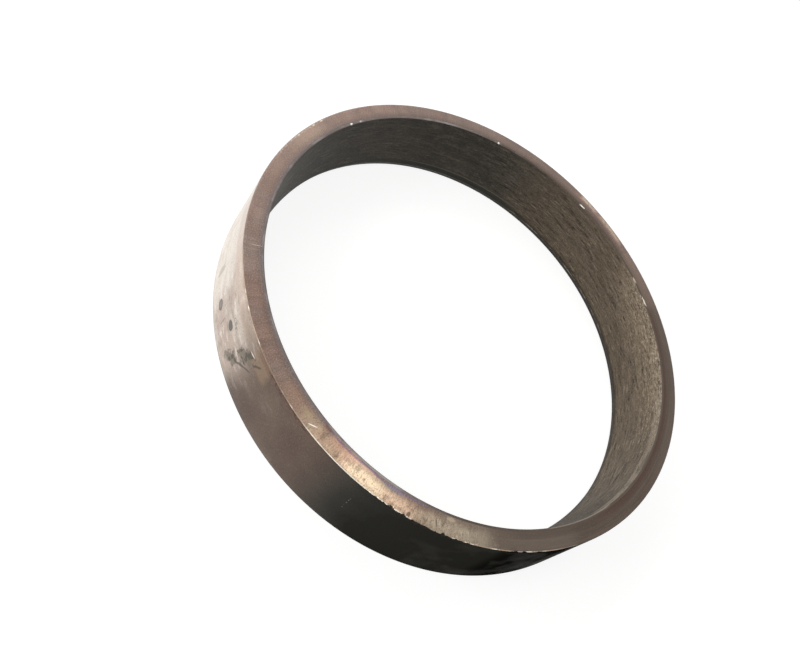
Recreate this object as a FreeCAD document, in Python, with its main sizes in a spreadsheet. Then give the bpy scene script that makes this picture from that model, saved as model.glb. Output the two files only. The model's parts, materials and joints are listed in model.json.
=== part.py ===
import FreeCAD, Part
import math
import os
import Sketcher

# Grinding ring of a roller mill: one forged steel ring, turned all over.
# The rollers run on its straight bore. Its outer wall is a slow cone, which
# wedges down into the seat of the mill housing. It lies on its large end,
# with the centre of that face at the origin and the axis along +Z.

doc = FreeCAD.newDocument("GrindingRing")

SIZES = {
    # Straight roller track
    "bore_diameter": 830.0,
    # Height between the two flat ends
    "ring_height": 150.0,
    # Wall at the small end, which faces up
    "small_end_wall": 34.0,
    # Slope of the outer wall from the axis, in degrees
    "seat_taper": 5.0,
    # Lead-in bevel of the bore at the large end
    "lead_in_depth": 10.0,
    "lead_in_rise": 4.0,
    # Flat bevel of the bore edge at the small end
    "bore_edge_width": 4.0,
    "bore_edge_drop": 1.5,
    # Rounded outer edges
    "small_end_edge": 1.5,
    "large_end_edge": 2.5,
}

sheet = doc.addObject("Spreadsheet::Sheet", "Sizes")
for row, (alias, value) in enumerate(SIZES.items(), start=1):
    sheet.set(f"A{row}", alias)
    sheet.set(f"B{row}", str(value))
    sheet.setAlias(f"B{row}", alias)
doc.recompute()


def origin_plane(body, role):
    """The body's own origin plane with this role."""
    for feature in body.Origin.OriginFeatures:
        if feature.Role == role:
            return feature
    raise ValueError(f"no plane {role}")


def bind(sketch, name, constraint, expression):
    """Add a named constraint and bind it to the sheet."""
    index = sketch.addConstraint(constraint)
    sketch.renameConstraint(index, name)
    sketch.setExpression(f"Constraints.{name}", expression)


def circle_names(shape, radius, level):
    """Names of the round edges of this radius about the axis, at this height."""
    near = 1e-3
    names = []
    for index, edge in enumerate(shape.Edges, start=1):
        curve = edge.Curve
        if not isinstance(curve, Part.Circle):
            continue
        if abs(curve.Radius - radius) < near and abs(curve.Center.z - level) < near:
            names.append(f"Edge{index}")
    if not names:
        raise ValueError(f"no round edge of radius {radius} at {level}")
    return names


def dress(body, kind, name, edges, **bindings):
    """Add a chamfer or fillet on named edges, and see that it takes metal off."""
    base = body.Tip
    feature = body.newObject(kind, name)
    feature.Base = (base, edges)
    if "Size2" in bindings:
        feature.ChamferType = "Two distances"
    for size, expression in bindings.items():
        feature.setExpression(size, expression)
    doc.recompute()
    body.Tip = feature
    if not feature.Shape.Volume < base.Shape.Volume:
        raise ValueError(f"{name} takes nothing off")
    return feature


# The forging, turned to its section: flat ends, straight bore, conical outside.
ring = doc.addObject("PartDesign::Body", "GrindingRing")
ring.Label = "grinding_ring"
ring.Placement = FreeCAD.Placement()

section = ring.newObject("Sketcher::SketchObject", "RingSection")
section.AttachmentSupport = [(origin_plane(ring, "XZ_Plane"), "")]
section.MapMode = "FlatFace"

height = SIZES["ring_height"]
bore_radius = SIZES["bore_diameter"] / 2
small_radius = bore_radius + SIZES["small_end_wall"]
spread = height * math.tan(math.radians(SIZES["seat_taper"]))
large_radius = small_radius + spread
corners = [
    FreeCAD.Vector(bore_radius, 0, 0),
    FreeCAD.Vector(large_radius, 0, 0),
    FreeCAD.Vector(small_radius, height, 0),
    FreeCAD.Vector(bore_radius, height, 0),
]
BOTTOM, SEAT, TOP, BORE = range(4)
START, END = 1, 2
X_AXIS = -1
for side in (BOTTOM, SEAT, TOP, BORE):
    section.addGeometry(Part.LineSegment(corners[side], corners[(side + 1) % 4]), False)
for side in (BOTTOM, SEAT, TOP, BORE):
    section.addConstraint(Sketcher.Constraint("Coincident", side, END, (side + 1) % 4, START))
section.addConstraint(Sketcher.Constraint("PointOnObject", BOTTOM, START, X_AXIS))
section.addConstraint(Sketcher.Constraint("Horizontal", BOTTOM))
section.addConstraint(Sketcher.Constraint("Horizontal", TOP))
section.addConstraint(Sketcher.Constraint("Vertical", BORE))
bind(section, "bore", Sketcher.Constraint("DistanceX", X_AXIS, START, BOTTOM, START, bore_radius),
     "Sizes.bore_diameter / 2")
bind(section, "wall", Sketcher.Constraint("DistanceX", TOP, END, TOP, START, SIZES["small_end_wall"]),
     "Sizes.small_end_wall")
bind(section, "rise", Sketcher.Constraint("DistanceY", BORE, END, BORE, START, height),
     "Sizes.ring_height")
bind(section, "spread", Sketcher.Constraint("DistanceX", TOP, START, BOTTOM, END, spread),
     "Sizes.ring_height * tan(Sizes.seat_taper * 1 deg)")
doc.recompute()

turned = ring.newObject("PartDesign::Revolution", "TurnedRing")
turned.Profile = section
turned.ReferenceAxis = (section, ["V_Axis"])
turned.Angle = 360.0
doc.recompute()
ring.Tip = turned

# Edges: the long lead-in bevel that lets the ring drop over the rollers, the
# flat bevel of the track at the small end, and the two rounded outer edges.
dress(ring, "PartDesign::Chamfer", "LeadIn", circle_names(ring.Tip.Shape, bore_radius, 0),
      Size="Sizes.lead_in_rise", Size2="Sizes.lead_in_depth")
dress(ring, "PartDesign::Chamfer", "BoreEdge", circle_names(ring.Tip.Shape, bore_radius, height),
      Size="Sizes.bore_edge_drop", Size2="Sizes.bore_edge_width")
dress(ring, "PartDesign::Fillet", "SmallEndEdge", circle_names(ring.Tip.Shape, small_radius, height),
      Radius="Sizes.small_end_edge")
dress(ring, "PartDesign::Fillet", "LargeEndEdge", circle_names(ring.Tip.Shape, large_radius, 0),
      Radius="Sizes.large_end_edge")

doc.recompute()
for item in doc.Objects:
    if "Invalid" in item.State or "Error" in item.State:
        raise ValueError(f"{item.Name} failed: {item.State}")
if ring.Shape.isNull() or not ring.Shape.isValid():
    raise ValueError("the ring is not a valid solid")

os.makedirs("parts", exist_ok=True)
ring.Shape.exportStep(f"parts/{ring.Label}.step")
box = ring.Shape.optimalBoundingBox()
print(f"{ring.Label}: {box.XLength:.1f} x {box.YLength:.1f} x {box.ZLength:.1f} mm, "
      f"{ring.Shape.Volume / 1e6:.2f} litres")
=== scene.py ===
import json
import math
import bpy
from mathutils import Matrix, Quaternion, Vector


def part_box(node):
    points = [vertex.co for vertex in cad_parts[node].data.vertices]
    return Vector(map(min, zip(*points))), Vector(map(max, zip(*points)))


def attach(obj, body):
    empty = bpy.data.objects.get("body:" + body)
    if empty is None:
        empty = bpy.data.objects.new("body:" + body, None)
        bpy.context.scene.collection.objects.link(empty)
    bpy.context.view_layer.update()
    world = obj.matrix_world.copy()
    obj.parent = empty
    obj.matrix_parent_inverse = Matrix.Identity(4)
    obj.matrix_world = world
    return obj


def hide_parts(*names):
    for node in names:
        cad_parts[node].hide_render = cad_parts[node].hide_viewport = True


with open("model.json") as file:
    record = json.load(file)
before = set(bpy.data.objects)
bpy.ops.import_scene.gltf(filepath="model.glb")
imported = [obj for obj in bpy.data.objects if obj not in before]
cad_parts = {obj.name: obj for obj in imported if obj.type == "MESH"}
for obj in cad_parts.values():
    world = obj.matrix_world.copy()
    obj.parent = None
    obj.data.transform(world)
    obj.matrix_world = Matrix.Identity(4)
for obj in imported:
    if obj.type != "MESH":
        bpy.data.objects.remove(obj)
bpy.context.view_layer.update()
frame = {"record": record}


# Camera
# A phone stood about 1.1 m from the ring, in front of it and above it on the left, and was
# turned over to one side by almost an eighth of a turn. Its place is in the ring's own frame.
camera_place = Vector((-0.585, -0.638, 0.979))
camera_target = Vector((-0.1416, -0.0625, 0.075))
camera_roll = math.radians(44.66)
phone_lens = 29.2
film_width = 36

camera = bpy.data.objects.new("camera", bpy.data.cameras.new("camera"))
camera.data.lens = phone_lens
camera.data.sensor_width = film_width
aim = (camera_target - camera_place).to_track_quat("-Z", "Y")
camera.rotation_mode = "QUATERNION"
camera.rotation_quaternion = aim @ Quaternion((0, 0, 1), camera_roll)
camera.location = camera_place
bpy.context.collection.objects.link(camera)
bpy.context.scene.camera = camera


# Studio: floor, world and lamps
# A white floor that fades out of sight, a pale even surround, one broad soft lamp where the open
# sky was, a weaker one on the left, and a small one high up for the shine of the ground stretch.
def linear(code):
    """A colour written as sRGB hex, as the linear colour that a shader takes."""
    channels = [int(code[place:place + 2], 16) / 255 for place in (1, 3, 5)]
    spread = [value / 12.92 if value <= 0.04045 else ((value + 0.055) / 1.055) ** 2.4 for value in channels]
    return (*spread, 1)


def put(tree, kind, inputs=None, **settings):
    """Adds a node, sets its properties, and fills its inputs with values, nodes or sockets."""
    made = tree.nodes.new(kind)
    for name, value in settings.items():
        setattr(made, name, value)
    for key, value in (inputs or {}).items():
        if isinstance(value, bpy.types.Node):
            value = value.outputs[0]
        if isinstance(value, bpy.types.NodeSocket):
            tree.links.new(value, made.inputs[key])
        else:
            made.inputs[key].default_value = value
    return made


def new_material(name):
    """An empty node material, and its tree and output node."""
    material = bpy.data.materials.new(name)
    material.use_nodes = True
    material.node_tree.nodes.clear()
    output = put(material.node_tree, "ShaderNodeOutputMaterial")
    return material, material.node_tree, output


floor_half = 20.0
floor_mesh = bpy.data.meshes.new("floor")
floor_corners = [(x * floor_half, y * floor_half, 0) for x, y in ((-1, -1), (1, -1), (1, 1), (-1, 1))]
floor_mesh.from_pydata(floor_corners, [], [range(4)])
floor = bpy.data.objects.new("floor", floor_mesh)
bpy.context.collection.objects.link(floor)

# The floor looks white to the camera and in the steel, keeps a soft shadow, and throws little light up.
paper, tree, output = new_material("white_paper_floor")
rays = put(tree, "ShaderNodeLightPath").outputs
seen = put(tree, "ShaderNodeMath", {0: rays["Is Camera Ray"], 1: rays["Is Glossy Ray"]}, operation="ADD")
seen = put(tree, "ShaderNodeMath", {0: seen, 1: rays["Is Transmission Ray"]}, operation="ADD", use_clamp=True)
glow_level = 0.84
glow = put(tree, "ShaderNodeMath", {0: seen, 1: glow_level}, operation="MULTIPLY")
glow = put(tree, "ShaderNodeEmission", {"Color": linear("#FFFFFF"), "Strength": glow})
matt = put(tree, "ShaderNodeBsdfDiffuse", {"Color": linear("#9A9A98")})
lit_paper = put(tree, "ShaderNodeAddShader", {0: matt, 1: glow})
tree.links.new(lit_paper.outputs[0], output.inputs["Surface"])
floor_mesh.materials.append(paper)

world = bpy.data.worlds.new("surround")
bpy.context.scene.world = world
world.use_nodes = True
tree = world.node_tree
tree.nodes.clear()
rays = put(tree, "ShaderNodeLightPath").outputs
seen = put(tree, "ShaderNodeMath", {0: rays["Is Camera Ray"], 1: rays["Is Glossy Ray"]}, operation="ADD")
seen = put(tree, "ShaderNodeMath", {0: seen, 1: rays["Is Transmission Ray"]}, operation="ADD", use_clamp=True)
surround_level = 0.4
strength = put(tree, "ShaderNodeMath", {0: seen, 1: 1 - surround_level, 2: surround_level},
               operation="MULTIPLY_ADD")
surround = put(tree, "ShaderNodeBackground", {"Color": linear("#FFFFFF"), "Strength": strength})
put(tree, "ShaderNodeOutputWorld", {"Surface": surround})

lamp_target = Vector((0, 0, 0.1))


def softbox(name, place, width, height, power):
    """A rectangular area lamp at a place, aimed at the ring."""
    lamp = bpy.data.lights.new(name, "AREA")
    lamp.shape = "RECTANGLE"
    lamp.size = width
    lamp.size_y = height
    lamp.energy = power
    shade = bpy.data.objects.new(name, lamp)
    shade.location = place
    shade.rotation_mode = "QUATERNION"
    shade.rotation_quaternion = (lamp_target - Vector(place)).to_track_quat("-Z", "Y")
    bpy.context.collection.objects.link(shade)


softbox("sky_lamp", (-0.9, 2.6, 2.0), 3.0, 2.2, 42)
softbox("left_lamp", (-2.8, -0.2, 1.5), 1.6, 1.2, 40)
softbox("high_lamp", (0.6, 0.4, 2.3), 0.5, 0.5, 1.8)


# Grinding ring
# One forged steel ring, turned all over: a straight track that the rollers run on, two flat ends,
# and an outer wall with a slow taper that wedges into the mill housing.
MM = 0.001
low, high = (Vector(corner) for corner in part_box("grinding_ring"))
ring_height = high.z - low.z
track_mount = next(mount for mount in frame["record"]["mounts"] if mount["name"] == "roller_track")
track_radius = track_mount["dims"]["r_mm"] * MM
small_end_wall = 34 * MM
small_end_radius = track_radius + small_end_wall
taper = math.radians(5)
large_end_radius = small_end_radius + ring_height * math.tan(taper)
lead_in_depth = 10 * MM
lead_in_rise = 4 * MM
bore_edge_width = 4 * MM
bore_edge_drop = 1.5 * MM
small_end_edge = 1.5 * MM
large_end_edge = 2.5 * MM

END_FACE, SEAT, TRACK, EDGE = range(4)


def stretch(start, end, count, near_start=1.0, near_end=1.0):
    """Points from start up to, not at, end. A value over 1 sets them closer together near that end."""
    start, end = Vector(start), Vector(end)
    shares = [1 - (1 - (step / count) ** near_start) ** near_end for step in range(count)]
    return [start.lerp(end, share) for share in shares]


def rounded(before, corner, after, radius, count):
    """Points of the arc that rounds a corner between two straight sides."""
    before, corner, after = Vector(before), Vector(corner), Vector(after)
    back = (before - corner).normalized()
    ahead = (after - corner).normalized()
    half_angle = back.angle(ahead) / 2
    reach = radius / math.tan(half_angle)
    middle = corner + (back + ahead).normalized() * radius / math.sin(half_angle)
    first = corner + back * reach - middle
    last = corner + ahead * reach - middle
    return [middle + radius * first.slerp(last, step / count).normalized() for step in range(count + 1)]


inner_bottom = (track_radius + lead_in_rise, 0)
outer_bottom = (large_end_radius, 0)
outer_top = (small_end_radius, ring_height)
inner_top = (track_radius + bore_edge_width, ring_height)
track_top = (track_radius, ring_height - bore_edge_drop)
track_bottom = (track_radius, lead_in_depth)
large_corner = rounded(inner_bottom, outer_bottom, outer_top, large_end_edge, 3)
small_corner = rounded(outer_bottom, outer_top, inner_top, small_end_edge, 3)
section_rows = [
    (END_FACE, stretch(inner_bottom, large_corner[0], 8)),
    (EDGE, large_corner[:-1]),
    (SEAT, stretch(large_corner[-1], small_corner[0], 26, near_end=1.5)),
    (EDGE, small_corner[:-1]),
    (END_FACE, stretch(small_corner[-1], inner_top, 15, near_start=1.3)),
    (EDGE, stretch(inner_top, track_top, 3)),
    (TRACK, stretch(track_top, track_bottom, 26, near_start=1.3)),
    (EDGE, stretch(track_bottom, inner_bottom, 3)),
]
section_mesh = bpy.data.meshes.new("grinding_ring_section")
section_points = [(point.x, 0, point.y) for surface, points in section_rows for point in points]
section_mesh.from_pydata(section_points, [], [])
surface_of_row = section_mesh.attributes.new("surface", "INT", "POINT")
surface_of_row.data.foreach_set("value", [surface for surface, points in section_rows for point in points])
ring = bpy.data.objects.new("turned_ring", section_mesh)
bpy.context.collection.objects.link(ring)


def turn_section_tree():
    """Geometry nodes that sweep the section round the axis, then roughen and chip the surface."""
    tree = bpy.data.node_groups.new("turn_the_section", "GeometryNodeTree")
    names = (("Geometry", "NodeSocketGeometry"), ("Columns", "NodeSocketInt"), ("Rows", "NodeSocketInt"),
             ("Crowding", "NodeSocketFloat"), ("Crowded Side", "NodeSocketFloat"),
             ("Scoring", "NodeSocketFloat"), ("Edge Wear", "NodeSocketFloat"),
             ("Ragged Depth", "NodeSocketFloat"), ("Ragged Side", "NodeSocketVector"),
             ("Notches", "NodeSocketObject"), ("Seed", "NodeSocketFloat"),
             ("Edge Radius", "NodeSocketFloat"), ("Edge Height", "NodeSocketFloat"),
             ("Face Steel", "NodeSocketMaterial"), ("Seat Steel", "NodeSocketMaterial"),
             ("Track Steel", "NodeSocketMaterial"), ("Edge Steel", "NodeSocketMaterial"))
    for name, kind in names:
        tree.interface.new_socket(name=name, in_out="INPUT", socket_type=kind)
    tree.interface.new_socket(name="Geometry", in_out="OUTPUT", socket_type="NodeSocketGeometry")
    given = put(tree, "NodeGroupInput").outputs

    # A sheet of columns and rows, whose last row and column fall on the first ones
    row_count = put(tree, "ShaderNodeMath", {0: given["Rows"], 1: 1}, operation="ADD")
    column_count = put(tree, "ShaderNodeMath", {0: given["Columns"], 1: 1}, operation="ADD")
    sheet = put(tree, "GeometryNodeMeshGrid", {"Vertices X": column_count, "Vertices Y": row_count})
    index = put(tree, "GeometryNodeInputIndex")
    column = put(tree, "ShaderNodeMath", {0: index, 1: row_count}, operation="DIVIDE")
    column = put(tree, "ShaderNodeMath", {0: column}, operation="FLOOR")
    row = put(tree, "ShaderNodeMath", {0: index, 1: row_count}, operation="MODULO")
    row = put(tree, "ShaderNodeMath", {0: row, 1: given["Rows"]}, operation="MODULO")
    face_row = put(tree, "ShaderNodeMath", {0: index, 1: given["Rows"]}, operation="MODULO")
    surface = put(tree, "GeometryNodeInputNamedAttribute", {"Name": "surface"}, data_type="INT")
    surface_here = put(tree, "GeometryNodeSampleIndex",
                       {"Geometry": given["Geometry"], "Value": surface, "Index": face_row},
                       data_type="INT", domain="POINT")
    marked = put(tree, "GeometryNodeStoreNamedAttribute",
                 {"Geometry": sheet, "Name": "surface", "Value": surface_here},
                 data_type="INT", domain="FACE")

    # Each column stands at its angle, closer together on the crowded side
    even = put(tree, "ShaderNodeMath", {0: column, 1: given["Columns"]}, operation="DIVIDE")
    even = put(tree, "ShaderNodeMath", {0: even, 1: math.tau}, operation="MULTIPLY")
    swing = put(tree, "ShaderNodeMath", {0: even}, operation="SINE")
    angle = put(tree, "ShaderNodeMath", {0: swing, 1: given["Crowding"], 2: even}, operation="MULTIPLY_ADD")
    angle = put(tree, "ShaderNodeMath", {0: angle, 1: given["Crowded Side"]}, operation="ADD")
    angle = put(tree, "ShaderNodeMath", {0: angle, 1: math.pi}, operation="SUBTRACT")
    place = put(tree, "GeometryNodeInputPosition")
    section_point = put(tree, "GeometryNodeSampleIndex",
                        {"Geometry": given["Geometry"], "Value": place, "Index": row},
                        data_type="FLOAT_VECTOR", domain="POINT")
    turned_point = put(tree, "ShaderNodeVectorRotate", {"Vector": section_point, "Angle": angle},
                       rotation_type="Z_AXIS")
    swept = put(tree, "GeometryNodeSetPosition", {"Geometry": marked, "Position": turned_point})
    seam_gap = 0.02 * MM
    closed = put(tree, "GeometryNodeMergeByDistance", {"Geometry": swept, "Distance": seam_gap})

    # Scoring of the track: long shallow waves round the ring, one to two centimetres wide
    scores_in_a_metre = (5, 5, 70)
    grain = put(tree, "ShaderNodeVectorMath", {0: place, 1: scores_in_a_metre}, operation="MULTIPLY")
    scores = put(tree, "ShaderNodeTexNoise",
                 {"Vector": grain, "Scale": 1.0, "Detail": 2.0, "W": given["Seed"]}, noise_dimensions="4D")
    surface_now = put(tree, "GeometryNodeInputNamedAttribute", {"Name": "surface"}, data_type="INT")
    on_track = put(tree, "FunctionNodeCompare", {2: surface_now.outputs[0], 3: TRACK},
                   data_type="INT", operation="EQUAL")
    score_depth = put(tree, "ShaderNodeMath", {0: scores, 1: given["Scoring"]}, operation="MULTIPLY")
    score_depth = put(tree, "ShaderNodeMath", {0: score_depth, 1: on_track}, operation="MULTIPLY")

    # Distance from the outer edge of the small end
    flat_place = put(tree, "ShaderNodeVectorMath", {0: place, 1: (1, 1, 0)}, operation="MULTIPLY")
    radius = put(tree, "ShaderNodeVectorMath", {0: flat_place}, operation="LENGTH").outputs["Value"]
    height = put(tree, "ShaderNodeSeparateXYZ", {0: place}).outputs["Z"]
    across = put(tree, "ShaderNodeMath", {0: radius, 1: given["Edge Radius"]}, operation="SUBTRACT")
    below = put(tree, "ShaderNodeMath", {0: height, 1: given["Edge Height"]}, operation="SUBTRACT")
    off_edge = put(tree, "ShaderNodeCombineXYZ", {0: across, 1: below})
    off_edge = put(tree, "ShaderNodeVectorMath", {0: off_edge}, operation="LENGTH").outputs["Value"]

    # Fine wear all along that edge, and deep torn chips where the housing struck it
    wear_grains = 160.0
    wear_reach = 5 * MM
    rough = put(tree, "ShaderNodeTexNoise",
                {"Vector": place, "Scale": wear_grains, "Detail": 2.0, "W": given["Seed"]},
                noise_dimensions="4D")
    wear_here = put(tree, "ShaderNodeMapRange", {0: off_edge, 1: 0.0, 2: wear_reach, 3: 1.0, 4: 0.0})
    wear = put(tree, "ShaderNodeMath", {0: rough, 1: wear_here}, operation="MULTIPLY")
    wear = put(tree, "ShaderNodeMath", {0: wear, 1: given["Edge Wear"]}, operation="MULTIPLY")
    chip_grains = 110.0
    chip_full = 1 * MM
    chip_reach = 6 * MM
    struck_core = math.cos(math.radians(12))
    struck_reach = math.cos(math.radians(24))
    chips = put(tree, "ShaderNodeTexNoise",
                {"Vector": place, "Scale": chip_grains, "Detail": 3.0, "Roughness": 0.6})
    chips = put(tree, "ShaderNodeMapRange", {0: chips, 1: 0.5, 2: 0.68}, interpolation_type="SMOOTHSTEP")
    facing = put(tree, "ShaderNodeVectorMath", {0: flat_place}, operation="NORMALIZE")
    struck_side = put(tree, "ShaderNodeVectorMath", {0: facing, 1: given["Ragged Side"]},
                      operation="DOT_PRODUCT").outputs["Value"]
    struck_side = put(tree, "ShaderNodeMapRange", {0: struck_side, 1: struck_reach, 2: struck_core})
    chips = put(tree, "ShaderNodeMath", {0: chips, 1: struck_side}, operation="MULTIPLY")
    chips_here = put(tree, "ShaderNodeMapRange", {0: off_edge, 1: chip_full, 2: chip_reach, 3: 1.0, 4: 0.0})
    chips = put(tree, "ShaderNodeMath", {0: chips, 1: chips_here}, operation="MULTIPLY")
    chips = put(tree, "ShaderNodeMath", {0: chips, 1: given["Ragged Depth"]}, operation="MULTIPLY")
    wear = put(tree, "ShaderNodeMath", {0: wear, 1: chips}, operation="ADD")

    # Knocked notches: a bite round each given point, with an uneven rim
    bites = put(tree, "GeometryNodeObjectInfo", {"Object": given["Notches"]})
    rim_grains = 350.0
    rim_wander = 6 * MM
    bite_width = 1.8
    wander = put(tree, "ShaderNodeTexNoise", {"Vector": place, "Scale": rim_grains, "Detail": 2.0})
    wander = put(tree, "ShaderNodeVectorMath", {0: wander.outputs["Color"], 1: (0.5, 0.5, 0.5)},
                 operation="SUBTRACT")
    wander = put(tree, "ShaderNodeVectorMath", {0: wander, "Scale": rim_wander}, operation="SCALE")
    wandered = put(tree, "ShaderNodeVectorMath", {0: place, 1: wander}, operation="ADD")
    to_bite = put(tree, "GeometryNodeProximity", {0: bites.outputs["Geometry"], "Sample Position": wandered},
                  target_element="POINTS")
    bite_depth = put(tree, "GeometryNodeInputNamedAttribute", {"Name": "depth"}, data_type="FLOAT")
    nearest = put(tree, "GeometryNodeSampleNearest",
                  {0: bites.outputs["Geometry"], "Sample Position": wandered}, domain="POINT")
    bite_depth = put(tree, "GeometryNodeSampleIndex",
                     {"Geometry": bites.outputs["Geometry"], "Value": bite_depth, "Index": nearest},
                     data_type="FLOAT", domain="POINT")
    bite_reach = put(tree, "ShaderNodeMath", {0: bite_depth, 1: bite_width}, operation="MULTIPLY")
    bite = put(tree, "ShaderNodeMapRange",
               {0: to_bite.outputs["Distance"], 1: 0.0, 2: bite_reach, 3: bite_depth, 4: 0.0},
               interpolation_type="SMOOTHSTEP")

    # All of it goes into the steel, against the surface's own direction
    sunk = put(tree, "ShaderNodeMath", {0: score_depth, 1: wear}, operation="ADD")
    sunk = put(tree, "ShaderNodeMath", {0: sunk, 1: bite.outputs[0]}, operation="ADD")
    inward = put(tree, "ShaderNodeMath", {0: sunk, 1: -1.0}, operation="MULTIPLY")
    outward = put(tree, "GeometryNodeInputNormal")
    shift = put(tree, "ShaderNodeVectorMath", {0: outward, "Scale": inward}, operation="SCALE")
    worn = put(tree, "GeometryNodeSetPosition", {"Geometry": closed, "Offset": shift})
    shaded = put(tree, "GeometryNodeSetShadeSmooth", {"Geometry": worn})
    finished = put(tree, "GeometryNodeRealizeInstances", {0: shaded})
    finished = put(tree, "GeometryNodeSetMaterial", {"Geometry": finished, "Material": given["Face Steel"]})
    for surface_number, name in ((SEAT, "Seat Steel"), (TRACK, "Track Steel"), (EDGE, "Edge Steel")):
        chosen = put(tree, "FunctionNodeCompare", {2: surface_now.outputs[0], 3: surface_number},
                     data_type="INT", operation="EQUAL")
        finished = put(tree, "GeometryNodeSetMaterial",
                       {"Geometry": finished, "Selection": chosen, "Material": given[name]})
    put(tree, "NodeGroupOutput", {0: finished})
    return tree


def steel_places(tree):
    """The place on the ring, its distance from the axis, its height and its direction from the axis."""
    place = put(tree, "ShaderNodeTexCoord").outputs["Object"]
    flat = put(tree, "ShaderNodeVectorMath", {0: place, 1: (1, 1, 0)}, operation="MULTIPLY")
    radius = put(tree, "ShaderNodeVectorMath", {0: flat}, operation="LENGTH").outputs["Value"]
    height = put(tree, "ShaderNodeSeparateXYZ", {0: place}).outputs["Z"]
    facing = put(tree, "ShaderNodeVectorMath", {0: flat}, operation="NORMALIZE")
    return place, radius, height, facing


def side(tree, facing, turn, half, soft):
    """1 on the side of the ring within half of a turn, in degrees, fading to 0 over soft."""
    turn = math.radians(turn)
    along = put(tree, "ShaderNodeVectorMath", {0: facing, 1: (math.cos(turn), math.sin(turn), 0)},
                operation="DOT_PRODUCT").outputs["Value"]
    outer = math.cos(math.radians(min(half + soft, 180)))
    inner = math.cos(math.radians(half))
    return put(tree, "ShaderNodeMapRange", {0: along, 1: outer, 2: inner}, interpolation_type="SMOOTHSTEP")


def band(tree, value, middle, half, soft):
    """1 where a value lies within half of a middle, fading to 0 over soft."""
    off = put(tree, "ShaderNodeMath", {0: value, 1: middle}, operation="SUBTRACT")
    off = put(tree, "ShaderNodeMath", {0: off}, operation="ABSOLUTE")
    return put(tree, "ShaderNodeMapRange", {0: off, 1: half + soft, 2: half}, interpolation_type="SMOOTHSTEP")


def noise(tree, vector, detail=3.0, roughness=0.55, seed=0.0):
    """Noise over a vector that is already drawn out to scale."""
    return put(tree, "ShaderNodeTexNoise", {"Vector": vector, "Scale": 1.0, "Detail": detail,
                                            "Roughness": roughness, "W": seed}, noise_dimensions="4D")


def speckle(tree, place, grains, detail=2.0, roughness=0.55, seed=0.0):
    """Even noise with its number of grains in a metre."""
    vector = put(tree, "ShaderNodeVectorMath", {0: place, "Scale": grains}, operation="SCALE")
    return noise(tree, vector, detail, roughness, seed)


def grain_round(tree, place, along, across, detail=3.0, roughness=0.55, seed=0.0):
    """Noise drawn out round the ring, with its grains in a metre along the marks and across them."""
    vector = put(tree, "ShaderNodeVectorMath", {0: place, 1: (along, along, across)}, operation="MULTIPLY")
    return noise(tree, vector, detail, roughness, seed)


def grain_across(tree, facing, radius, turning, across, detail=3.0, roughness=0.55, seed=0.0):
    """Noise drawn out across an end face, with its grains in a radian and in a metre of radius."""
    drawn = put(tree, "ShaderNodeVectorMath", {0: facing, "Scale": turning}, operation="SCALE")
    outward = put(tree, "ShaderNodeMath", {0: radius, 1: across}, operation="MULTIPLY")
    outward = put(tree, "ShaderNodeCombineXYZ", {2: outward})
    vector = put(tree, "ShaderNodeVectorMath", {0: drawn, 1: outward}, operation="ADD")
    return noise(tree, vector, detail, roughness, seed)


def spot(tree, place, turn, radius, height, size, twist=0.0, tilt=0.0):
    """0 in the middle of a spot and 1 at its rim. Its half sizes go outward, round the ring and up."""
    turn = math.radians(turn)
    middle = (radius * math.cos(turn), radius * math.sin(turn), height)
    turned = (math.radians(tilt), 0, turn + math.radians(twist))
    local = put(tree, "ShaderNodeMapping", {"Vector": place, "Location": middle, "Rotation": turned,
                                            "Scale": size}, vector_type="TEXTURE")
    return put(tree, "ShaderNodeVectorMath", {0: local}, operation="LENGTH").outputs["Value"]


def layer(tree, under, over, pattern, clear, full, strength=1.0, where=1.0):
    """Lays a colour over another, from none where the pattern is clear to its strength where it is full."""
    mask = put(tree, "ShaderNodeMapRange", {0: pattern, 1: clear, 2: full, 4: strength},
               interpolation_type="SMOOTHSTEP")
    mask = put(tree, "ShaderNodeMath", {0: mask, 1: where}, operation="MULTIPLY")
    return put(tree, "ShaderNodeMix", {0: mask, 6: under, 7: over}, data_type="RGBA").outputs[2]


def both(tree, one, other):
    """Where both of two patterns are 1."""
    return put(tree, "ShaderNodeMath", {0: one, 1: other}, operation="MULTIPLY")


def torn(tree, pattern, edge_noise, amount):
    """A pattern whose soft border is broken up by noise."""
    centred = put(tree, "ShaderNodeMath", {0: edge_noise, 1: 0.5}, operation="SUBTRACT")
    return put(tree, "ShaderNodeMath", {0: centred, 1: amount, 2: pattern}, operation="MULTIPLY_ADD")


# End face steel: turned flat, then browned by the heat of hardening. It is a dull satin metal,
# mauve brown, with one ground stretch that shines pale and carries a painted highlight, a purple and
# blue tint beside it, one side painted darker as shade, and faint marks across the face where it was dressed.
face_steel, tree, output = new_material("heat_tinted_turned_end_steel")
place, radius, height, facing = steel_places(tree)
skin = 5 * MM
cloud = speckle(tree, place, 14, detail=4.0, seed=1.0)
mottle = speckle(tree, place, 75, detail=4.0, roughness=0.65, seed=5.0)
bands = grain_across(tree, facing, radius, 14, 8, detail=2.0, seed=6.0)
dressing = grain_across(tree, facing, radius, 55, 20, detail=3.0, seed=2.0)
fine_dressing = grain_across(tree, facing, radius, 230, 120, detail=3.0, seed=3.0)
marks = grain_across(tree, facing, radius, 150, 16, detail=3.0, roughness=0.65, seed=8.0)
fine = speckle(tree, place, 500, detail=3.0, seed=4.0)
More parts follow.
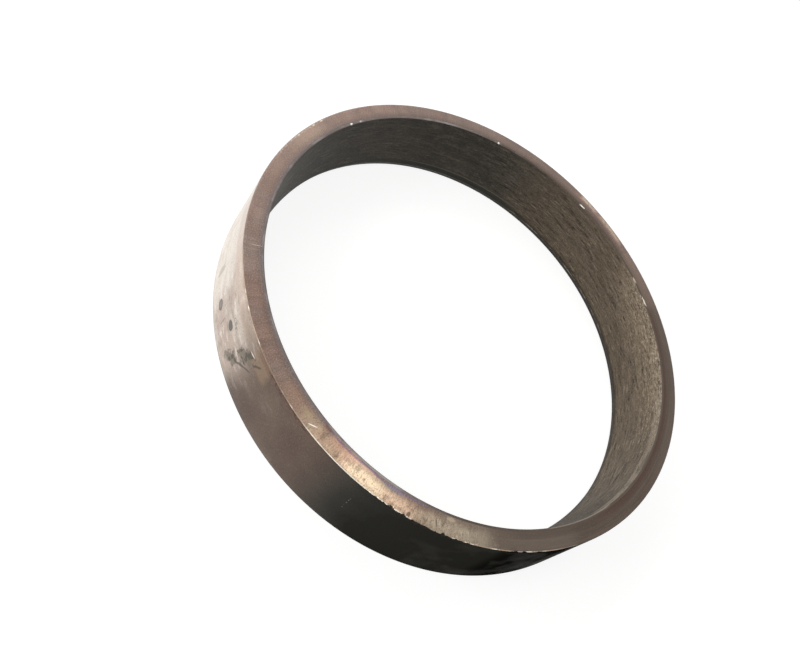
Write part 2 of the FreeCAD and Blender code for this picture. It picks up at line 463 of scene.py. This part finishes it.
# The brown of the heat, by turns warmer and greyer round the face
colour = layer(tree, linear("#765F55"), linear("#8B776D"), cloud, 0.38, 0.64)
colour = layer(tree, colour, linear("#8A6E62"), bands, 0.5, 0.62, 0.5)
colour = layer(tree, colour, linear("#746A61"), bands, 0.46, 0.34, 0.5)
colour = layer(tree, colour, linear("#9A7F6C"), dressing, 0.53, 0.68, 0.4)
colour = layer(tree, colour, linear("#62534B"), dressing, 0.47, 0.32, 0.4)
colour = layer(tree, colour, linear("#7A655A"), side(tree, facing, 158, 9, 8), 0, 1, 0.28)
colour = layer(tree, colour, linear("#725C52"), side(tree, facing, 136, 1.5, 4), 0, 1, 0.3)
pale_side = side(tree, facing, 147, 3.5, 6)
colour = layer(tree, colour, linear("#94806F"), pale_side, 0.1, 1.0, 0.35)
pale_side = torn(tree, side(tree, facing, 146.5, 1, 5.5), dressing, 1.2)
colour = layer(tree, colour, linear("#AE9682"), pale_side, 0.2, 1.3, 0.32)
# Painted shade: one side of the face is painted darker, where its reflection is dark, and shows its turned
# lines
painted_shade_side = torn(tree, side(tree, facing, -41, 44, 28), dressing, 0.3)
colour = layer(tree, colour, linear("#504338"), painted_shade_side, 0, 1, 0.92)
colour = layer(tree, colour, linear("#665A4E"), mottle, 0.5, 0.66, 0.18, painted_shade_side)
turned_lines = grain_across(tree, facing, radius, 3, 260, detail=3.0, roughness=0.6, seed=9.0)
colour = layer(tree, colour, linear("#3D3027"), turned_lines, 0.5, 0.64, 0.35, painted_shade_side)
colour = layer(tree, colour, linear("#776A5D"), turned_lines, 0.48, 0.36, 0.2, painted_shade_side)
colour = layer(tree, colour, linear("#75685C"), side(tree, facing, -83, 5, 9), 0, 1, 0.45)
colour = layer(tree, colour, linear("#A88A75"), side(tree, facing, -139, 2, 7), 0, 1, 0.6)
colour = layer(tree, colour, linear("#5F4332"), side(tree, facing, -145, 3, 5), 0, 1, 0.22)
colour = layer(tree, colour, linear("#7A6B62"), side(tree, facing, 80, 25, 18), 0, 1, 0.4)
# The ground stretch, a painted highlight at its brightest part, and the grain of its dressing
ground = both(tree, side(tree, facing, -120, 8, 25), side(tree, facing, -111, 19, 15))
ground = torn(tree, torn(tree, ground, dressing, 0.2), cloud, 0.4)
ground = put(tree, "ShaderNodeMapRange", {0: ground, 1: 0.1, 2: 0.9})
colour = layer(tree, colour, linear("#A8937D"), ground, 0.0, 1.0)
colour = layer(tree, colour, linear("#A09A88"), side(tree, facing, -101.5, 3, 7), 0, 1, 0.45)
colour = layer(tree, colour, linear("#B8957C"), side(tree, facing, -130.5, 3, 3), 0, 1, 0.5)
shiny = torn(tree, torn(tree, side(tree, facing, -119.5, 5.5, 6), marks, 0.6), cloud, 0.4)
shiny = put(tree, "ShaderNodeMapRange", {0: shiny, 1: 0.2, 2: 0.95})
colour = layer(tree, colour, linear("#CFAE93"), shiny, 0, 1)
# Painted highlight: a near-white core at the brightest part of the shine
painted_highlight = torn(tree, side(tree, facing, -122.2, 2.3, 4), marks, 1.2)
colour = layer(tree, colour, linear("#F3DBB8"), painted_highlight, 0.25, 1.0, 0.8)
inner_half = put(tree, "ShaderNodeMapRange",
                 {0: radius, 1: track_radius + 25 * MM, 2: track_radius + 12 * MM})
colour = layer(tree, colour, linear("#9C8370"), inner_half, 0, 1, 0.55, side(tree, facing, -112.5, 4.5, 4.5))
colour = layer(tree, colour, linear("#EBD1B4"), marks, 0.5, 0.64, 0.5, shiny)
colour = layer(tree, colour, linear("#6B594B"), mottle, 0.52, 0.64, 0.55, ground)
colour = layer(tree, colour, linear("#CBB79B"), mottle, 0.47, 0.36, 0.5, ground)
colour = layer(tree, colour, linear("#5A4A3F"), fine_dressing, 0.51, 0.66, 0.4, ground)
colour = layer(tree, colour, linear("#E9DBC2"), fine_dressing, 0.45, 0.32, 0.3, ground)
# Darker toward the bore, and toward the rim in places
inner_part = put(tree, "ShaderNodeMapRange", {0: radius, 1: track_radius + 19 * MM, 2: track_radius + 4 * MM})
colour = layer(tree, colour, linear("#5A4A40"), inner_part, 0, 1, 0.55)
colour = layer(tree, colour, linear("#6E5D53"), inner_part, 0, 1, 0.5, ground)
colour = layer(tree, colour, linear("#584439"), inner_part, 0, 1, 0.7, side(tree, facing, 45, 16, 12))
colour = layer(tree, colour, linear("#462C1C"), inner_part, 0, 1, 0.8, side(tree, facing, -18, 38, 14))
colour = layer(tree, colour, linear("#5A503E"), inner_part, 0, 1, 0.35, side(tree, facing, 22, 9, 8))
outer_part = put(tree, "ShaderNodeMapRange",
                 {0: radius, 1: track_radius + 16 * MM, 2: track_radius + 24 * MM})
colour = layer(tree, colour, linear("#63564A"), outer_part, 0, 1, 0.35, side(tree, facing, -12, 22, 14))
colour = layer(tree, colour, linear("#816C5C"), side(tree, facing, 21, 4, 8), 0, 1, 0.5)
dim_rim = band(tree, radius, track_radius + 7 * MM, 5 * MM, 6 * MM)
colour = layer(tree, colour, linear("#40362D"), dim_rim, 0, 1, 0.3, side(tree, facing, -76, 9, 6))
olive = spot(tree, place, -138.6, small_end_radius - 14 * MM, ring_height, (7 * MM, 12 * MM, skin))
colour = layer(tree, colour, linear("#9F8F6C"), torn(tree, olive, mottle, 0.8), 1.1, 0.4, 0.4)
# Heat tints beside the ground stretch and along the bore
warm = both(tree, inner_half, side(tree, facing, -128.5, 1.5, 3))
colour = layer(tree, colour, linear("#C59D86"), warm, 0, 1, 0.65)
pink = both(tree, band(tree, radius, track_radius + 9 * MM, 1 * MM, 4 * MM), side(tree, facing, -124, 1, 4))
colour = layer(tree, colour, linear("#DDAF9A"), torn(tree, pink, mottle, 1.2), 0.2, 1.1, 0.45)
wavy_radius = put(tree, "ShaderNodeMath", {0: cloud, 1: -12 * MM, 2: radius}, operation="MULTIPLY_ADD")
tint = band(tree, wavy_radius, track_radius + 0.5 * MM, 0.8 * MM, 2.4 * MM)
tint = torn(tree, tint, mottle, 1.6)
colour = layer(tree, colour, linear("#6C5B7C"), tint, 0.2, 1, 0.6, side(tree, facing, -122, 10, 6))
colour = layer(tree, colour, linear("#77737A"), tint, 0, 1, 0.3, side(tree, facing, 180, 30, 40))
lobe = spot(tree, place, -116.3, track_radius + 8.5 * MM, ring_height, (5 * MM, 21 * MM, skin))
lobe = torn(tree, lobe, mottle, 0.8)
colour = layer(tree, colour, linear("#77727E"), lobe, 1.1, 0.4, 0.65)
stain = spot(tree, place, -133.8, track_radius + 4 * MM, ring_height, (7 * MM, 11 * MM, skin))
colour = layer(tree, colour, linear("#74513F"), torn(tree, stain, mottle, 0.8), 1.1, 0.4, 0.7)
# Fine grain all over, fainter on the side painted darker as shade
away_from_painted_shade = put(tree, "ShaderNodeMapRange", {0: painted_shade_side, 3: 1.0, 4: 0.25})
colour = layer(tree, colour, linear("#51423A"), fine, 0.52, 0.66, 0.55, away_from_painted_shade)
colour = layer(tree, colour, linear("#B5A394"), fine, 0.47, 0.32, 0.45, away_from_painted_shade)
# A copper stretch at the back with pale and pink marks
blotch = speckle(tree, place, 150, detail=4.0, roughness=0.7, seed=7.0)
outer_half = band(tree, radius, small_end_radius - 9 * MM, 5 * MM, 7 * MM)
copper = torn(tree, both(tree, side(tree, facing, 43, 8, 4), outer_half), blotch, 2.6)
colour = layer(tree, colour, linear("#A08575"), copper, 0.4, 1.0, 0.6)
colour = layer(tree, colour, linear("#6F5C50"), side(tree, facing, 56, 6, 8), 0, 1, 0.3)
thin_line = band(tree, radius, small_end_radius - 8 * MM, 3 * MM, 5 * MM)
for turn, half, soft, paint in ((47.8, 1.5, 3, "#D2C0AC"), (38.2, 2.5, 4, "#C3AE96")):
    cream = torn(tree, both(tree, side(tree, facing, turn, half, soft), thin_line), blotch, 2.4)
    colour = layer(tree, colour, linear(paint), cream, 0.4, 1.2, 0.85)
for turn, paint in ((45.2, "#C09284"), (50.5, "#C4998B"), (34.8, "#B58878")):
    pink = torn(tree, both(tree, side(tree, facing, turn, 0.2, 0.9), outer_half), mottle, 2.0)
    colour = layer(tree, colour, linear(paint), pink, 0.4, 1.4, 0.45)
# A dinged rim, pits, gouges and scratches
rim = band(tree, radius, small_end_radius - 2.8 * MM, 1.4 * MM, 1.4 * MM)
dinged = torn(tree, both(tree, rim, side(tree, facing, 147, 9, 5)), blotch, 5.0)
colour = layer(tree, colour, linear("#E2D3C2"), dinged, 1.15, 1.45, 0.8)
pits = put(tree, "ShaderNodeTexVoronoi", {"Vector": place, "Scale": 230.0})
pitted = put(tree, "ShaderNodeMapRange", {0: pits.outputs["Distance"], 1: 0.2, 2: 0.1})
colour = layer(tree, colour, linear("#4B3D33"), pitted, 0.1, 0.6, 0.45, side(tree, facing, -108, 12, 12))
gouge = spot(tree, place, -106, small_end_radius - 12 * MM, ring_height, (9 * MM, 1.2 * MM, skin), twist=14)
colour = layer(tree, colour, linear("#4F4236"), torn(tree, gouge, fine, 2.0), 1.0, 0.5, 0.8)
gouge = spot(tree, place, -111.8, small_end_radius - 4 * MM, ring_height, (7 * MM, 3 * MM, skin), twist=-12)
colour = layer(tree, colour, linear("#5F5145"), torn(tree, gouge, mottle, 1.5), 1.0, 0.6, 0.8)
patch = spot(tree, place, -103, track_radius + 9 * MM, ring_height, (4 * MM, 8 * MM, skin))
patch = torn(tree, torn(tree, patch, mottle, 1.6), marks, 1.6)
colour = layer(tree, colour, linear("#BBAB93"), patch, 1.0, 0.4, 0.6)
scratch = spot(tree, place, -136, small_end_radius - 10.5 * MM, ring_height, (9 * MM, 1.0 * MM, skin),
               twist=-60)
colour = layer(tree, colour, linear("#F8EBDD"), scratch, 1.0, 0.6)
scratch = spot(tree, place, -176.5, track_radius + 12 * MM, ring_height, (14 * MM, 0.7 * MM, skin))
colour = layer(tree, colour, linear("#C9B1A6"), scratch, 1.0, 0.5, 0.7)
relief = put(tree, "ShaderNodeMath", {0: fine_dressing, 1: fine}, operation="ADD")
bump = put(tree, "ShaderNodeBump", {"Height": relief, "Strength": 0.35, "Distance": 0.5 * MM})
dull = put(tree, "ShaderNodeMapRange", {0: cloud, 1: 0.35, 2: 0.65, 3: 0.42, 4: 0.5})
dull = put(tree, "ShaderNodeMix", {0: shiny, 2: dull, 3: 0.32}, data_type="FLOAT")
metal = put(tree, "ShaderNodeMapRange", {0: ground, 3: 0.5, 4: 0.8})
shader = put(tree, "ShaderNodeBsdfPrincipled", {"Base Color": colour, "Metallic": metal, "Roughness": dull,
                                                "Normal": bump})
tree.links.new(shader.outputs[0], output.inputs["Surface"])


# Seat steel: the outer cone, turned smooth and left in its scale. It is a satin brown metal with a painted
# pale reflection and grease smudges on one side, and on another a painted near-black shade, dull and not
# metal.
seat_steel, tree, output = new_material("scaled_seat_steel_with_painted_shade_and_sheen")
place, radius, height, facing = steel_places(tree)
cloud = speckle(tree, place, 9, detail=5.0, seed=11.0)
mottle = speckle(tree, place, 60, detail=4.0, roughness=0.65, seed=15.0)
streaks = grain_round(tree, place, 110, 6, detail=3.0, seed=12.0)
rub_marks = grain_round(tree, place, 26, 60, detail=4.0, roughness=0.65, seed=17.0)
fine = speckle(tree, place, 450, detail=3.0, roughness=0.6, seed=13.0)
ragged_reach = 26 * MM
ragged = speckle(tree, place, 70, detail=3.0, seed=14.0).outputs["Color"]
ragged = put(tree, "ShaderNodeVectorMath", {0: ragged, 1: (ragged_reach,) * 3, 2: place},
             operation="MULTIPLY_ADD")
ragged = put(tree, "ShaderNodeVectorMath", {0: ragged, 1: (ragged_reach / 2,) * 3}, operation="SUBTRACT")
# Painted shade where the cone faces away from the light, and a painted pale reflection of the bright surround
# on another side
painted_shade = torn(tree, side(tree, facing, -95, 17, 27), cloud, 0.4)
pale_stretch = torn(tree, side(tree, facing, 178, 16, 17), cloud, 0.4)
# Brown scale, painted pale on one side as a reflection of the bright surround, and warmer near the small end
colour = layer(tree, linear("#564135"), linear("#675344"), cloud, 0.38, 0.62)
colour = layer(tree, colour, linear("#4A4037"), side(tree, facing, 20, 40, 40), 0, 1, 0.6)
# Painted reflection: the pale of the bright surround in the steel, with streaks in it
colour = layer(tree, colour, linear("#D2C4B7"), pale_stretch, 0.05, 1)
colour = layer(tree, colour, linear("#B89E91"), cloud, 0.5, 0.62, 0.6, pale_stretch)
colour = layer(tree, colour, linear("#8F8170"), rub_marks, 0.52, 0.66, 0.65, pale_stretch)
colour = layer(tree, colour, linear("#EFE4DA"), rub_marks, 0.48, 0.36, 0.85, pale_stretch)
# Painted highlight: the brightest strip of that reflection
colour = layer(tree, colour, linear("#F2E9DE"), side(tree, facing, 176, 7, 9), 0, 1, 0.6)
near_edge = band(tree, height, ring_height - 10 * MM, 12 * MM, 20 * MM)
colour = layer(tree, colour, linear("#CBAE9D"), near_edge, 0, 1, 0.5, side(tree, facing, -173, 12, 8))
colour = layer(tree, colour, linear("#7F6C58"), near_edge, 0, 1, 0.4, side(tree, facing, -159, 2.5, 3))
near_edge = band(tree, height, ring_height - 10 * MM, 20 * MM, 24 * MM)
colour = layer(tree, colour, linear("#B09272"), near_edge, 0, 1, 0.38, side(tree, facing, -150.9, 1.3, 2.6))
reddened = band(tree, height, ring_height - 5 * MM, 4 * MM, 6 * MM)
colour = layer(tree, colour, linear("#6A463A"), reddened, 0, 1, 0.4, side(tree, facing, -144, 7, 5))
# Painted shade: near black where the cone faces away from the light, with a darker painted strip in it, then
# fine grain all over
colour = layer(tree, colour, linear("#3B3A35"), painted_shade, 0.1, 0.95)
colour = layer(tree, colour, linear("#161613"), side(tree, facing, -79, 8, 6), 0, 1, 0.85)
colour = layer(tree, colour, linear("#564B42"), streaks, 0.55, 0.72, 0.12)
colour = layer(tree, colour, linear("#2E2924"), fine, 0.53, 0.68, 0.45)
clear_of_painted_shade = put(tree, "ShaderNodeMapRange", {0: painted_shade, 3: 1.0, 4: 0.0})
colour = layer(tree, colour, linear("#9C8D80"), fine, 0.46, 0.32, 0.3, clear_of_painted_shade)
# Greasy smudges: two broad ones and two thin ones
deep = 60 * MM
grease = linear("#433B2D")
thin_grease = linear("#6A6150")
breakup = speckle(tree, place, 170, detail=3.0, roughness=0.6, seed=16.0)
smears = speckle(tree, place, 95, detail=3.0, roughness=0.65, seed=18.0)
wavy_reach = 14 * MM
wavy = speckle(tree, place, 45, detail=1.0, seed=19.0).outputs["Color"]
wavy = put(tree, "ShaderNodeVectorMath", {0: wavy, 1: (wavy_reach,) * 3, 2: place}, operation="MULTIPLY_ADD")
wavy = put(tree, "ShaderNodeVectorMath", {0: wavy, 1: (wavy_reach / 2,) * 3}, operation="SUBTRACT")
for turn, drop, half_length, half_width, tilt in ((-154.8, 52, 27, 13, 52), (-158.1, 103, 24, 12, 55)):
    smudge = spot(tree, ragged, turn, small_end_radius, ring_height - drop * MM,
                  (deep, half_length * MM, half_width * MM), tilt=tilt)
    greasy = put(tree, "ShaderNodeMapRange", {0: torn(tree, smudge, breakup, 2.0), 1: 1.15, 2: 0.75})
    colour = layer(tree, colour, thin_grease, greasy, 0, 1, 0.75)
    colour = layer(tree, colour, grease, smears, 0.47, 0.56, 0.85, greasy)
smudge = spot(tree, wavy, -154.4, small_end_radius, ring_height - 78 * MM, (deep, 32 * MM, 2.2 * MM), tilt=45)
colour = layer(tree, colour, grease, torn(tree, smudge, breakup, 1.5), 1.1, 0.7, 0.8)
smudge = spot(tree, wavy, -151.2, small_end_radius, ring_height - 32 * MM, (deep, 14 * MM, 2.2 * MM), tilt=54)
colour = layer(tree, colour, grease, torn(tree, smudge, breakup, 1.0), 1.1, 0.7, 0.85)
# Two dark ovals, pitted patches, a nick, a row of dots and a dented rim
oval = spot(tree, place, -163, small_end_radius, ring_height - 76 * MM, (deep, 9.5 * MM, 9.5 * MM))
colour = layer(tree, colour, linear("#463F39"), torn(tree, oval, mottle, 0.6), 1.05, 0.85, 0.9)
oval = spot(tree, place, -169.7, small_end_radius, ring_height - 107 * MM, (deep, 10.5 * MM, 10.5 * MM))
colour = layer(tree, colour, linear("#51483F"), torn(tree, oval, mottle, 0.6), 1.05, 0.85, 0.9)
colour = layer(tree, colour, linear("#8E8276"), oval, 0.7, 0.4, 0.7)
mark = spot(tree, place, -165.8, small_end_radius, ring_height - 105 * MM, (deep, 1.8 * MM, 15 * MM))
colour = layer(tree, colour, linear("#7A6E63"), mark, 1.1, 0.6, 0.6)
pits = spot(tree, ragged, -162, small_end_radius, ring_height - 54 * MM, (deep, 16 * MM, 7 * MM))
colour = layer(tree, colour, linear("#6F6456"), torn(tree, pits, fine, -5.0), 0.7, 0.2, 0.7)
pits = spot(tree, ragged, -179, small_end_radius, ring_height - 105 * MM, (deep, 26 * MM, 22 * MM))
colour = layer(tree, colour, linear("#8F8270"), torn(tree, pits, streaks, -4.0), 0.8, 0.2, 0.5)
nick = spot(tree, place, -153.8, small_end_radius, ring_height - 30 * MM, (deep, 8 * MM, 1.4 * MM), tilt=10)
colour = layer(tree, colour, linear("#F2E6DA"), nick, 1.1, 0.6, 0.9)
dots = spot(tree, place, -121.2, small_end_radius, ring_height - 60 * MM, (deep, 1.5 * MM, 30 * MM), tilt=3)
colour = layer(tree, colour, linear("#B7AEA2"), torn(tree, dots, breakup, 7.0), 0.3, -0.3, 0.5)
dents = both(tree, band(tree, height, ring_height - 5 * MM, 3 * MM, 3 * MM), side(tree, facing, -142, 6, 4))
colour = layer(tree, colour, linear("#3B2E26"), torn(tree, dents, breakup, 5.0), 1.15, 1.5, 0.8)
bump = put(tree, "ShaderNodeBump", {"Height": fine, "Strength": 0.25, "Distance": 0.4 * MM})
# Where the shade is painted, the steel is rough, not metal and without shine
dull = put(tree, "ShaderNodeMapRange", {0: painted_shade, 3: 0.34, 4: 0.7})
metal = put(tree, "ShaderNodeMapRange", {0: painted_shade, 3: 0.7, 4: 0.0})
gloss = put(tree, "ShaderNodeMapRange", {0: painted_shade, 3: 0.5, 4: 0.0})
shader = put(tree, "ShaderNodeBsdfPrincipled", {"Base Color": colour, "Metallic": metal, "Roughness": dull,
                                                "Specular IOR Level": gloss, "Normal": bump})
tree.links.new(shader.outputs[0], output.inputs["Surface"])


# Track steel: the bore, rough turned, browned and rubbed by the rollers. It is dull and dark, with
# shallow scores round it, grit all over, pale flecks near the small end on one side, a painted lit side
# and a painted shaded side, and dull scale under a painted shadow on another.
track_steel, tree, output = new_material("scored_track_steel")
place, radius, height, facing = steel_places(tree)
cloud = speckle(tree, place, 12, detail=5.0, seed=21.0)
waves = grain_round(tree, place, 14, 90, detail=4.0, roughness=0.6, seed=22.0)
scores = grain_round(tree, place, 40, 260, detail=4.0, roughness=0.7, seed=23.0)
grit = grain_round(tree, place, 240, 420, detail=4.0, roughness=0.7, seed=24.0)
flecks = grain_round(tree, place, 110, 300, detail=4.0, roughness=0.7, seed=26.0)
painted_lit_side = side(tree, facing, 6, 20, 60)
near_face = put(tree, "ShaderNodeMapRange", {0: height, 1: ring_height - 95 * MM, 2: ring_height - 8 * MM})
pale_stretch = both(tree, near_face, side(tree, facing, 0, 9, 24))
worked_side = side(tree, facing, -4, 14, 20)
fleck_side = both(tree, near_face, worked_side)
lively = speckle(tree, place, 24, detail=3.0, seed=25.0)
lively = put(tree, "ShaderNodeMapRange", {0: lively, 1: 0.4, 2: 0.6, 3: 0.35})
# Brown all round, with painted shade on one side, a painted lit side, paler where it is rubbed, and a painted
# shadow over the scale
colour = layer(tree, linear("#423E37"), linear("#4E4941"), cloud, 0.4, 0.6)
# Painted shade on the side of the bore that faces away from the lamps
colour = layer(tree, colour, linear("#2F2C25"), side(tree, facing, 148, 14, 18), 0, 1, 0.5)
# Painted light: the side of the bore that faces the lamps is painted brighter
colour = layer(tree, colour, linear("#746656"), painted_lit_side, 0, 1)
# Painted shadow over dull scale: this side is darkened as if shaded by a ring beside it
scale_and_painted_shadow = side(tree, facing, -74, 12, 16)
colour = layer(tree, colour, linear("#40331F"), scale_and_painted_shadow, 0, 1, 0.4)
colour = layer(tree, colour, linear("#A18F79"), pale_stretch, 0, 1, 0.9)
pale_top = band(tree, height, ring_height - 8.5 * MM, 6.5 * MM, 12 * MM)
colour = layer(tree, colour, linear("#A09281"), pale_top, 0, 1, 0.75, side(tree, facing, -38, 16, 14))
# Scores, grit and flecks
colour = layer(tree, colour, linear("#26231E"), waves, 0.51, 0.66, 0.45)
colour = layer(tree, colour, linear("#84796A"), waves, 0.46, 0.3, 0.3)
colour = layer(tree, colour, linear("#1B1815"), scores, 0.53, 0.63, 0.85, lively)
colour = layer(tree, colour, linear("#827A6E"), scores, 0.46, 0.36, 0.45, lively)
bright_lively = both(tree, painted_lit_side, lively)
colour = layer(tree, colour, linear("#B5A58E"), scores, 0.46, 0.36, 0.6, bright_lively)
grit_here = put(tree, "ShaderNodeMapRange", {0: painted_lit_side, 3: 0.9, 4: 1.1})
colour = layer(tree, colour, linear("#1F1B17"), grit, 0.51, 0.62, 0.45, grit_here)
colour = layer(tree, colour, linear("#8C8070"), grit, 0.48, 0.38, 0.25, grit_here)
colour = layer(tree, colour, linear("#2A241E"), flecks, 0.53, 0.63, 0.55, fleck_side)
colour = layer(tree, colour, linear("#DCCEB8"), flecks, 0.48, 0.36, 0.7, fleck_side)
rim_flecks = both(tree, band(tree, height, ring_height - 6 * MM, 4 * MM, 10 * MM), worked_side)
colour = layer(tree, colour, linear("#E2D6C2"), grit, 0.47, 0.36, 0.6, rim_flecks)
# Bands and lines along the two ends; the line above the lead-in bevel is a painted highlight
low_rim = put(tree, "ShaderNodeMapRange", {0: height, 1: lead_in_depth + 12 * MM, 2: lead_in_depth + 2 * MM})
colour = layer(tree, colour, linear("#1E1D19"), low_rim, 0, 1, 0.7)
arris = band(tree, height, ring_height - 3 * MM, 1.5 * MM, 1.5 * MM)
arris = both(tree, arris, side(tree, facing, -68, 10, 6))
colour = layer(tree, colour, linear("#A99B89"), arris, 0, 1, 0.8)
back_band = band(tree, height, 13 * MM, 9 * MM, 2 * MM)
colour = layer(tree, colour, linear("#32342F"), back_band, 0, 1, 0.6, side(tree, facing, 92, 20, 16))
band_top = band(tree, height, 23.5 * MM, 0.8 * MM, 1.4 * MM)
colour = layer(tree, colour, linear("#6E6A5E"), band_top, 0, 1, 0.8, side(tree, facing, 82, 14, 10))
# Painted highlight: a pale line where the edge of the lead-in bevel catches the light
pale_edge_line = band(tree, height, lead_in_depth + 1 * MM, 0.8 * MM, 1.2 * MM)
pale_edge_line = torn(tree, both(tree, pale_edge_line, side(tree, facing, 38, 22, 10)), scores, 4.0)
colour = layer(tree, colour, linear("#C4BBA8"), pale_edge_line, 0.8, 1.4, 0.8)
bump = put(tree, "ShaderNodeBump", {"Height": waves, "Strength": 0.6, "Distance": 1.5 * MM})
bump = put(tree, "ShaderNodeBump", {"Height": scores, "Strength": 0.6, "Distance": 1.0 * MM, "Normal": bump})
bump = put(tree, "ShaderNodeBump", {"Height": grit, "Strength": 0.3, "Distance": 0.8 * MM, "Normal": bump})
metal = put(tree, "ShaderNodeMapRange", {0: scale_and_painted_shadow, 3: 0.2, 4: 0.05})
gloss = put(tree, "ShaderNodeMapRange", {0: scale_and_painted_shadow, 3: 0.2, 4: 0.1})
shader = put(tree, "ShaderNodeBsdfPrincipled", {"Base Color": colour, "Metallic": metal, "Roughness": 0.62,
                                                "Specular IOR Level": gloss, "Normal": bump})
tree.links.new(shader.outputs[0], output.inputs["Surface"])


# Edge steel: the bevels and rounded edges. It is blue grey from the heat, brown on one side, knocked
# along the outer edge with a painted highlight there and on the bore bevel, and bright at a few chips.
edge_steel, tree, output = new_material("rubbed_edge_steel_with_painted_highlights")
place, radius, height, facing = steel_places(tree)
rub = grain_round(tree, place, 40, 200, detail=4.0, seed=31.0)
fine = speckle(tree, place, 500, seed=32.0)
colour = layer(tree, linear("#756B66"), linear("#88817F"), rub, 0.45, 0.65)
colour = layer(tree, colour, linear("#4E4237"), side(tree, facing, -12, 84, 26), 0, 1, 0.9)
# The lead-in bevel is dark, the outer edge of the small end knocked with a painted highlight, and the bore
# edge worn
mid_wall = track_radius + 20 * MM
outer_edge = put(tree, "ShaderNodeMapRange", {0: radius, 1: mid_wall, 2: track_radius + 25 * MM})
inner_edge = put(tree, "ShaderNodeMapRange", {0: radius, 1: mid_wall, 2: track_radius + 15 * MM})
low_end = put(tree, "ShaderNodeMapRange", {0: height, 1: lead_in_depth, 2: lead_in_depth - 2 * MM})
colour = layer(tree, colour, linear("#14130F"), low_end, 0, 1, 0.9)
small_end = put(tree, "ShaderNodeMapRange", {0: height, 1: ring_height - 20 * MM, 2: ring_height - 10 * MM})
outer_edge = both(tree, outer_edge, small_end)
# Painted highlight: the outer edge is painted bright where it catches the light, near white at its middle,
# over its knocks
knocked_and_painted_highlight = torn(tree, side(tree, facing, -125, 40, 20), rub, 1.4)
colour = layer(tree, colour, linear("#A8947F"), knocked_and_painted_highlight, 0.3, 0.9, 1.0, outer_edge)
painted_edge_highlight = torn(tree, side(tree, facing, -124, 8, 10), rub, 2.0)
colour = layer(tree, colour, linear("#F6ECDD"), painted_edge_highlight, 0.3, 1.0, 1.0, outer_edge)
colour = layer(tree, colour, linear("#EDE3D3"), both(tree, rub, knocked_and_painted_highlight), 0.56, 0.68, 1.0, outer_edge)
colour = layer(tree, colour, linear("#7C695C"), side(tree, facing, -147.5, 4, 4), 0, 1, 0.8, outer_edge)
pale_edge_line = both(tree, band(tree, radius, track_radius + 0.5 * MM, 0.6 * MM, 0.9 * MM), small_end)
colour = layer(tree, colour, linear("#B5A797"), pale_edge_line, 0, 1, 0.45, side(tree, facing, -69, 8, 3))
blue_side = both(tree, inner_edge, side(tree, facing, 160, 85, 20))
# Painted highlight: a pale streak on the bore bevel
painted_bevel_highlight = torn(tree, side(tree, facing, -121, 3, 6), rub, 2.0)
colour = layer(tree, colour, linear("#B9B4B2"), painted_bevel_highlight, 0, 1, 0.4, blue_side)
# Chips of the bore edge: angle, half sizes outward and round the ring in millimetres, twist, colour
chip_radius = track_radius + 2 * MM
chip_list = (
    (81.5, 3, 2.5, 0, "#F4F0E6"),
    (48.8, 1.7, 9, 4, "#F4F0E6"),
    (13.8, 1.6, 14, 3, "#DDD4C4"),
    (21, 2.4, 8, 0, "#B0A796"),
    (129, 2, 3, 0, "#D2C8BC"),
    (132.3, 3, 4, 0, "#F4F0E6"),
)
for turn, outward, around, twist, paint in chip_list:
    chip = spot(tree, place, turn, chip_radius, ring_height, (outward * MM, around * MM, 3 * MM), twist=twist)
    colour = layer(tree, colour, linear(paint), torn(tree, chip, fine, 2.0), 1.0, 0.7)
bump = put(tree, "ShaderNodeBump", {"Height": fine, "Strength": 0.3, "Distance": 0.4 * MM})
metal = put(tree, "ShaderNodeMapRange", {0: low_end, 3: 0.6, 4: 0.05})
dull = put(tree, "ShaderNodeMapRange", {0: low_end, 3: 0.4, 4: 0.75})
shader = put(tree, "ShaderNodeBsdfPrincipled", {"Base Color": colour, "Metallic": metal, "Roughness": dull,
                                                "Normal": bump})
tree.links.new(shader.outputs[0], output.inputs["Surface"])


# Notches knocked out of the outer edge of the small end: angle in degrees and depth in millimetres
notch_list = ((-104, 3.0), (-110, 3.5), (-112.5, 3.0), (-115.5, 4.0))
notch_mesh = bpy.data.meshes.new("edge_notches")
notch_points = [(small_end_radius * math.cos(math.radians(turn)),
                 small_end_radius * math.sin(math.radians(turn)), ring_height) for turn, depth in notch_list]
notch_mesh.from_pydata(notch_points, [], [])
notch_depths = notch_mesh.attributes.new("depth", "FLOAT", "POINT")
notch_depths.data.foreach_set("value", [depth * MM for turn, depth in notch_list])
notches = bpy.data.objects.new("edge_notches", notch_mesh)
bpy.context.collection.objects.link(notches)

turning = ring.modifiers.new("turning", "NODES")
turning.node_group = turn_section_tree()
ragged_turn = math.radians(-103)
turned = {
    "Columns": 1080, "Rows": len(section_points), "Crowding": 0.6, "Crowded Side": math.radians(-115),
    "Scoring": 0.4 * MM, "Edge Wear": 0.5 * MM, "Ragged Depth": 3 * MM,
    "Ragged Side": (math.cos(ragged_turn), math.sin(ragged_turn), 0), "Notches": notches, "Seed": 7.0,
    "Edge Radius": small_end_radius, "Edge Height": ring_height,
    "Face Steel": face_steel, "Seat Steel": seat_steel, "Track Steel": track_steel, "Edge Steel": edge_steel,
}
for item in turning.node_group.interface.items_tree:
    if item.in_out == "INPUT" and item.name in turned:
        turning[item.identifier] = turned[item.name]
shape = bpy.data.meshes.new_from_object(ring.evaluated_get(bpy.context.evaluated_depsgraph_get()))
ring.modifiers.clear()
ring.data = shape
bpy.data.objects.remove(notches)
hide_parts("grinding_ring")
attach(ring, "root")

bpy.context.scene.view_settings.view_transform = "Standard"
